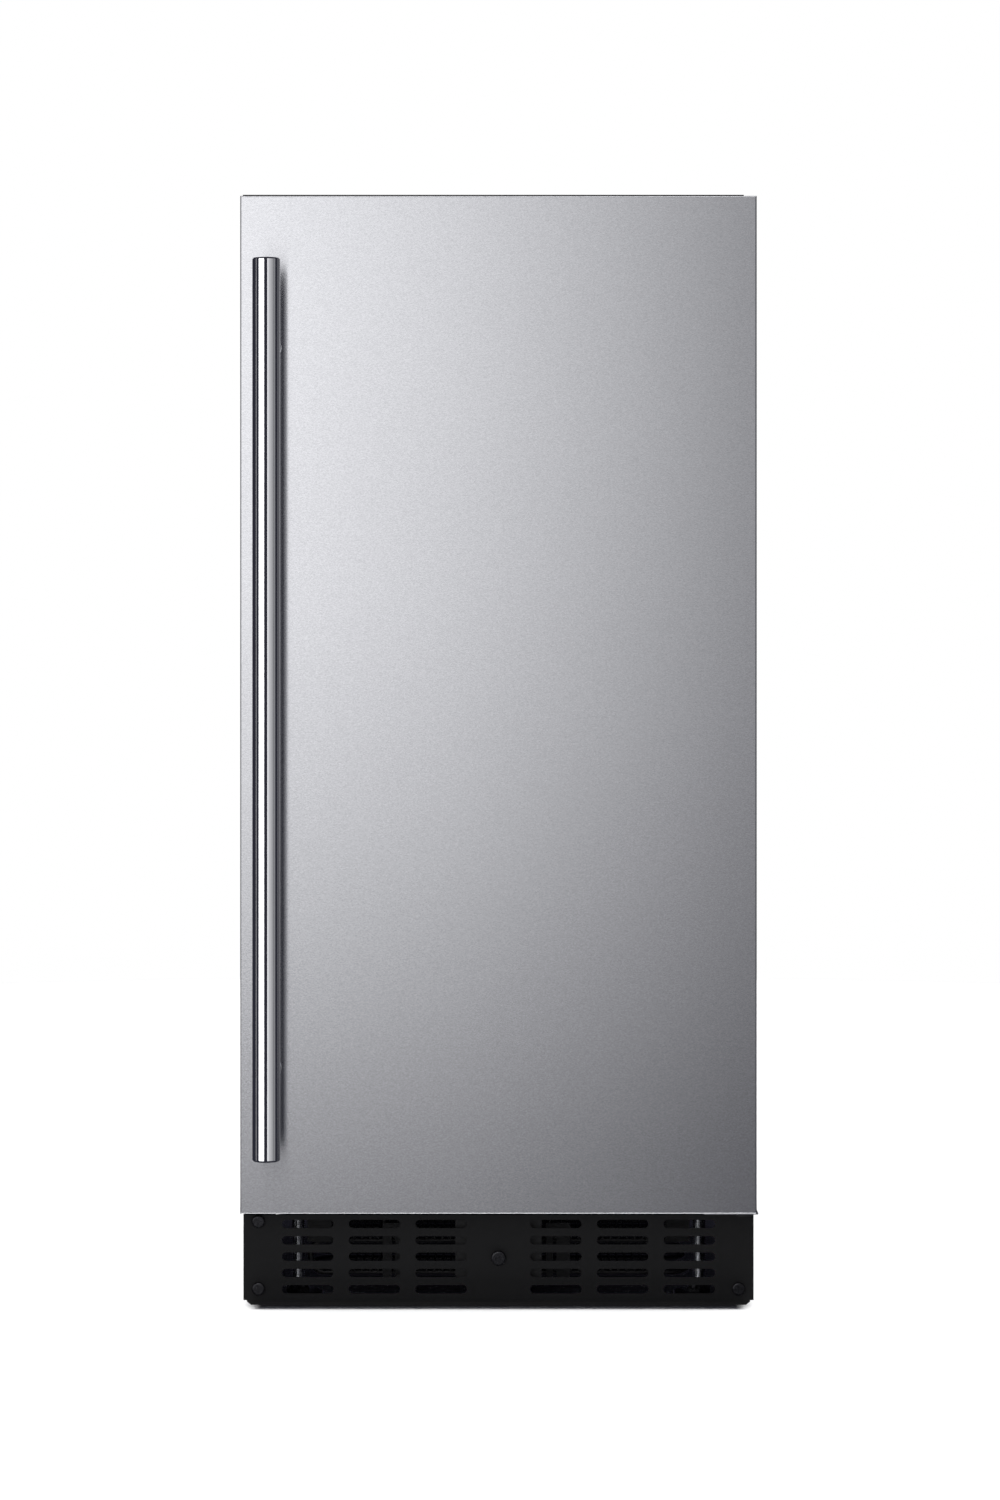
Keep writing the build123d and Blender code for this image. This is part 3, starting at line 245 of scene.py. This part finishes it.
# ---------------------------------------------------------------- finer pieces
def finish_piece(name, shape, material, body, crease=40):
    """Turns a bmesh into a piece that rides on a CAD body."""
    mesh = bpy.data.meshes.new(name)
    shape.to_mesh(mesh)
    shape.free()
    mesh.shade_smooth()
    mesh.set_sharp_from_angle(angle=math.radians(crease))
    mesh.materials.append(material)
    piece = bpy.data.objects.new(name, mesh)
    bpy.context.scene.collection.objects.link(piece)
    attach(piece, body)
    return piece


def rings_between(shape, rings):
    """Joins rings of vertices, of equal length or a single point, into a closed skin."""
    sides = max(len(ring) for ring in rings)
    for lower, upper in zip(rings, rings[1:]):
        for i in range(sides):
            j = (i + 1) % sides
            below = [lower[i % len(lower)], lower[j % len(lower)]]
            above = [upper[j % len(upper)], upper[i % len(upper)]]
            shape.faces.new(list(dict.fromkeys(below + above)))


def ring_at(shape, centre, radius, height, sides=96):
    """A ring of vertices; radius is a number or a function of the angle. Radius 0 is a point."""
    ring = []
    for i in range(1 if radius == 0 else sides):
        angle = 2 * math.pi * i / sides
        reach = radius(angle) if callable(radius) else radius
        x = centre[0] + reach * math.cos(angle)
        y = centre[1] + reach * math.sin(angle)
        ring.append(shape.verts.new((x * MM, y * MM, height * MM)))
    return ring


def smooth_bar(material):
    """The handle's bar, truly round, with softly domed and chamfered ends."""
    low, high, radius = 118.0, 769.0, 10.0
    centre = (BAR_X / MM, BAR_Y / MM)
    support = 2.1  # a ring just past the chamfer keeps the long side's shading straight
    end = [(0, 0), (4, 0.12), (8, 0.5), (9.1, 0.8), (9.2, 0.85), (9.92, 1.7), (radius, 1.9)]
    heights = [(r, low + z) for r, z in end]
    heights += [(radius, low + support), (radius, (low + high) / 2), (radius, high - support)]
    heights += [(r, high - z) for r, z in reversed(end)]
    shape = bmesh.new()
    rings_between(shape, [ring_at(shape, centre, r, z) for r, z in heights])
    bar = finish_piece("bar_smooth", shape, material, "door", crease=30)
    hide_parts("handle_bar")
    return bar


def bellows_gasket(material):
    """The door's magnetic seal: a flat lip on a folded bellows, mitred at the corners."""
    low, high = (Vector(corner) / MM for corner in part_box("door_gasket"))
    fold = [(0, 0), (0, 0.20), (1.6, 0.32), (0.4, 0.46), (1.6, 0.60), (0.8, 0.76), (2.6, 0.92), (5, 1)]
    width = 18.0
    profile = fold + [(width - inset, rise) for inset, rise in reversed(fold)]
    shape = bmesh.new()
    loops = []
    for inset, rise in profile:
        y = low.y + (high.y - low.y) * rise
        x0, x1 = low.x + inset, high.x - inset
        z0, z1 = low.z + inset, high.z - inset
        corners = ((x0, z0), (x1, z0), (x1, z1), (x0, z1))
        loops.append([shape.verts.new((x * MM, y * MM, z * MM)) for x, z in corners])
    for loop, following in zip(loops, loops[1:] + loops[:1]):
        for i in range(4):
            j = (i + 1) % 4
            shape.faces.new((loop[i], loop[j], following[j], following[i]))
    bmesh.ops.recalc_face_normals(shape, faces=shape.faces)
    gasket = finish_piece("gasket_bellows", shape, material, "door", crease=20)
    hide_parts("door_gasket")


def hexagon(flat):
    """Radius of a hexagon of a given half width, as a function of the angle."""
    def reach(angle):
        turn = (angle + math.pi / 6) % (math.pi / 3) - math.pi / 6
        return flat / math.cos(turn)
    return reach


def helix(radius, depth, pitch, height):
    """Radius of a triangular thread at a height, as a function of the angle."""
    def reach(angle):
        phase = (height / pitch - angle / (2 * math.pi)) % 1.0
        return radius - depth * abs(2 * phase - 1)
    return reach


def levelling_leg(row, side, steel, black):
    """A foot disc with a hexagon on a stud whose thread really winds upwards."""
    node = f"leg_{row}_{side}"
    body = f"{node}_body"
    low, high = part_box(node)
    centre = ((low[0] + high[0]) / 2 / MM, (low[1] + high[1]) / 2 / MM)
    floor, top = low[2] / MM, high[2] / MM
    base = finish_piece(f"{node}_foot", foot_shape(centre, floor), black, body, crease=25)
    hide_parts(node)
    stud = stud_shape(centre, floor + 13.0, top)
    finish_piece(f"{node}_stud", stud, steel, body, crease=60)


def foot_shape(centre, floor):
    """A round foot with a rounded rim under a hexagon for the spanner."""
    half_flats = 8.1
    foot = bmesh.new()
    disc = [(0, 0), (17.6, 0), (18.5, 0.4), (19, 1.4), (19, 5.4), (18.5, 6.6), (17.4, 7.0), (12, 7.2)]
    rings = [ring_at(foot, centre, r, floor + z) for r, z in disc]
    rings += [ring_at(foot, centre, hexagon(half_flats), floor + z) for z in (7.2, 13.4)]
    rings += [ring_at(foot, centre, r, floor + 14.0) for r in (7.9, 0)]
    rings_between(foot, rings)
    return foot


def stud_shape(centre, bottom, top):
    """A threaded M10 rod, built from thin layers."""
    radius, depth, pitch, layer = 5.0, 0.8, 1.5, 0.19
    stud = bmesh.new()
    rings = [ring_at(stud, centre, 0, bottom)]
    for i in range(int((top - bottom) / layer)):
        height = bottom + layer * i
        rings.append(ring_at(stud, centre, helix(radius, depth, pitch, height), height, 48))
    rings.append(ring_at(stud, centre, 0, top))
    rings_between(stud, rings)
    return stud


# ---------------------------------------------------------------- stage, light and camera
def emitter(name, colour, strength):
    """A material that only glows."""
    material = bpy.data.materials.new(name)
    material.use_nodes = True
    tree = material.node_tree
    tree.nodes.clear()
    glow = tree.nodes.new("ShaderNodeEmission")
    glow.inputs["Color"].default_value = (*colour, 1)
    glow.inputs["Strength"].default_value = strength
    output = tree.nodes.new("ShaderNodeOutputMaterial")
    tree.links.new(glow.outputs["Emission"], output.inputs["Surface"])
    return material


def white_room():
    """A pale floor, and a plain white surround that only the camera sees."""
    bpy.ops.mesh.primitive_circle_add(radius=2.4, vertices=96, fill_type="NGON", location=(0, 0, -0.0002))
    floor = bpy.context.object
    floor.name = "floor"
    material, _, shader = new_material("pale_floor")
    set_inputs(shader, Base_Color=(0.93, 0.93, 0.93, 1), Roughness=0.9, Specular_IOR_Level=0.0)
    floor.data.materials.append(material)
    floor.visible_glossy = False
    floor.visible_shadow = False
    bpy.ops.mesh.primitive_uv_sphere_add(radius=32, segments=64, ring_count=32)
    dome = bpy.context.object
    dome.name = "surround"
    dome.data.materials.append(emitter("surround_white", (1, 1, 1), 1.0))
    dome.visible_diffuse = False
    dome.visible_glossy = False
    dome.visible_shadow = False
    flags = [contact_flag("front", 0.362, -0.245, -0.1), contact_flag("rear", 0.378, -0.14, 0.322)]
    return floor, flags


def contact_flag(name, width, y_front, y_back):
    """An unseen plate just over the floor that casts the object's contact shadow."""
    place = (0, (y_front + y_back) / 2, 0.004)
    bpy.ops.mesh.primitive_cube_add(size=1, location=place, scale=(width, y_back - y_front, 0.0006))
    flag = bpy.context.object
    flag.name = "contact_flag_" + name
    flag.visible_camera = False
    flag.visible_diffuse = False
    flag.visible_glossy = False
    return flag


def softbox(name, place, target, width, height, radiance):
    """A rectangular light of an even radiance, which the camera doesn't see."""
    light = bpy.data.lights.new(name, "AREA")
    light.shape = "RECTANGLE"
    light.size = width
    light.size_y = height
    light.energy = radiance * math.pi * width * height
    lamp = bpy.data.objects.new(name, light)
    bpy.context.scene.collection.objects.link(lamp)
    lamp.location = place
    direction = Vector(target) - Vector(place)
    lamp.rotation_mode = "QUATERNION"
    lamp.rotation_quaternion = direction.to_track_quat("-Z", "Y")
    lamp.visible_camera = False
    return lamp


def fade(lamp, across, upward):
    """Makes a softbox fall off over its face: stops are (part of the side, brightness)."""
    lamp.data.use_nodes = True
    tree = lamp.data.node_tree
    place = tree.nodes.new("ShaderNodeNewGeometry")
    split = tree.nodes.new("ShaderNodeSeparateXYZ")
    product = tree.nodes.new("ShaderNodeMath")
    product.operation = "MULTIPLY"
    tree.links.new(place.outputs["Parametric"], split.inputs["Vector"])
    for slot, (side, stops) in enumerate((("X", across), ("Y", upward))):
        curve = tree.nodes.new("ShaderNodeValToRGB")
        tree.links.new(split.outputs[side], curve.inputs["Fac"])
        tree.links.new(curve.outputs["Color"], product.inputs[slot])
        elements = curve.color_ramp.elements
        while len(elements) < len(stops):
            elements.new(0.5)
        for element, (position, value) in zip(elements, stops):
            element.position = position
            element.color = (value, value, value, 1)
    tree.links.new(product.outputs["Value"], tree.nodes["Emission"].inputs["Strength"])


def around(azimuth, distance, z):
    """A place seen from the bar handle at an angle to the front, positive to the right."""
    turn = math.radians(azimuth)
    return (BAR_X + distance * math.sin(turn), BAR_Y - distance * math.cos(turn), z)


def light_only(lamps, name, objects, state="INCLUDE"):
    """Lets lamps reach only the given objects, or all others."""
    group = bpy.data.collections.new(name)
    for obj in objects:
        group.objects.link(obj)
    for entry in group.collection_objects:
        entry.light_linking.link_state = state
    for lamp in lamps:
        lamp.light_linking.receiver_collection = group


def dim_world():
    """A weak, slightly blue light from everywhere."""
    world = bpy.data.worlds.new("studio")
    world.use_nodes = True
    world.node_tree.nodes["Background"].inputs["Color"].default_value = (0.03, 0.03, 0.042, 1)
    bpy.context.scene.world = world


def light_bar(bar):
    """Upright softboxes around the bar, which draw the bands along it."""
    lamps = []
    for name, azimuth, distance, z, width, height, radiance in (
        ("bar_key", -38, 1.4, 0.74, 1.15, 1.7, 2.6),
        ("bar_fill", 38, 2.0, 0.8, 1.95, 2.2, 0.8),
        ("bar_side", 74, 1.6, 0.8, 0.5, 2.0, 0.25),
        ("bar_rim", -89, 1.6, 0.8, 0.12, 2.0, 0.6),
    ):
        lamp = softbox(name, around(azimuth, distance, z), around(0, 0, z), width, height, radiance)
        lamps.append(lamp)
        if name == "bar_fill":
            fade(lamp, ((0.0, 1.55), (0.25, 0.85), (1.0, 0.35)), ((0.0, 1.0), (1.0, 1.0)))
    light_only(lamps, "bar_only", [bar])


def light_body(floor, bar):
    """The graded front light, lights from both sides and above, and two from behind."""
    front = softbox("front", (0, -1.464, 0.5), (0, 0, 0.5), 1.6, 2.4, 1.61)
    fade(front, FRONT_ACROSS, FRONT_UPWARD)
    lamps = [front]
    for name, place, target, width, height, radiance in (
        ("front_left", (-1.75, -1.65, 0.8), (0, -0.1, 0.6), 1.9, 2.0, 0.65),
        ("front_right", (1.75, -1.65, 0.8), (0, -0.1, 0.6), 1.9, 2.0, 0.16),
        ("overhead", (0, -0.55, 2.3), (0, -0.15, 0.8), 1.6, 1.5, 1.2),
    ):
        lamps.append(softbox(name, place, target, width, height, radiance))
    light_only(lamps, "all_but_bar", [bar, floor], "EXCLUDE")
    rear_lamps = []
    for name, side, radiance in (("rear_left", -1, 1.3), ("rear_right", 1, 1.0)):
        rear_lamps.append(softbox(name, (1.7 * side, 1.9, 1.0), (0, 0.1, 0.5), 1.6, 1.8, radiance))
    light_only(rear_lamps, "all_but_front", [bar, floor, NODES["door_skin"]], "EXCLUDE")


def light_from_floor():
    """What a bright floor would send up to the kick plate and to the door's lower edge."""
    bounce = softbox("floor_bounce", (0, -0.47, -0.55), (0, -0.27, 0.07), 1.2, 0.3, 2.6)
    light_only([bounce], "kick_only", [NODES["kick_plate"]])
    glow = softbox("floor_glow", (0, -0.4, -0.6), (0, -0.26, 0.1), 1.4, 0.5, 2.4)
    light_only([glow], "door_only", [NODES["door_skin"]])


def light_floor(floor, flags):
    """An even light on the floor alone, which only the contact flags block."""
    wash = softbox("floor_wash", (0, 0, 4.0), (0, 0, 0), 12, 12, 1.95)
    light_only([wash], "floor_only", [floor])
    shade = bpy.data.collections.new("contact_shade")
    for flag in flags:
        shade.objects.link(flag)
    wash.light_linking.blocker_collection = shade


def place_camera():
    """Square to the front at 3 m, with a lens shift in place of a tilt."""
    camera_data = bpy.data.cameras.new("camera")
    camera = bpy.data.objects.new("camera", camera_data)
    bpy.context.scene.collection.objects.link(camera)
    camera.location = (0.0, -3.264, 0.5222)
    camera.rotation_euler = (math.radians(90), 0, 0)
    camera_data.sensor_width = 36
    camera_data.lens = 98.4
    camera_data.shift_x = 0.001
    camera_data.shift_y = -0.1
    camera_data.clip_end = 200
    bpy.context.scene.camera = camera
    bpy.context.scene.view_settings.view_transform = "Standard"


materials = make_materials()
dress_frame(materials)
bar = smooth_bar(materials["polished_steel"])
bellows_gasket(materials["gasket_rubber"])
for row in ("front", "rear"):
    for side in ("left", "right"):
        levelling_leg(row, side, materials["zinc"], materials["black_bolt"])
floor, flags = white_room()
dim_world()
light_bar(bar)
light_body(floor, bar)
light_from_floor()
light_floor(floor, flags)
place_camera()
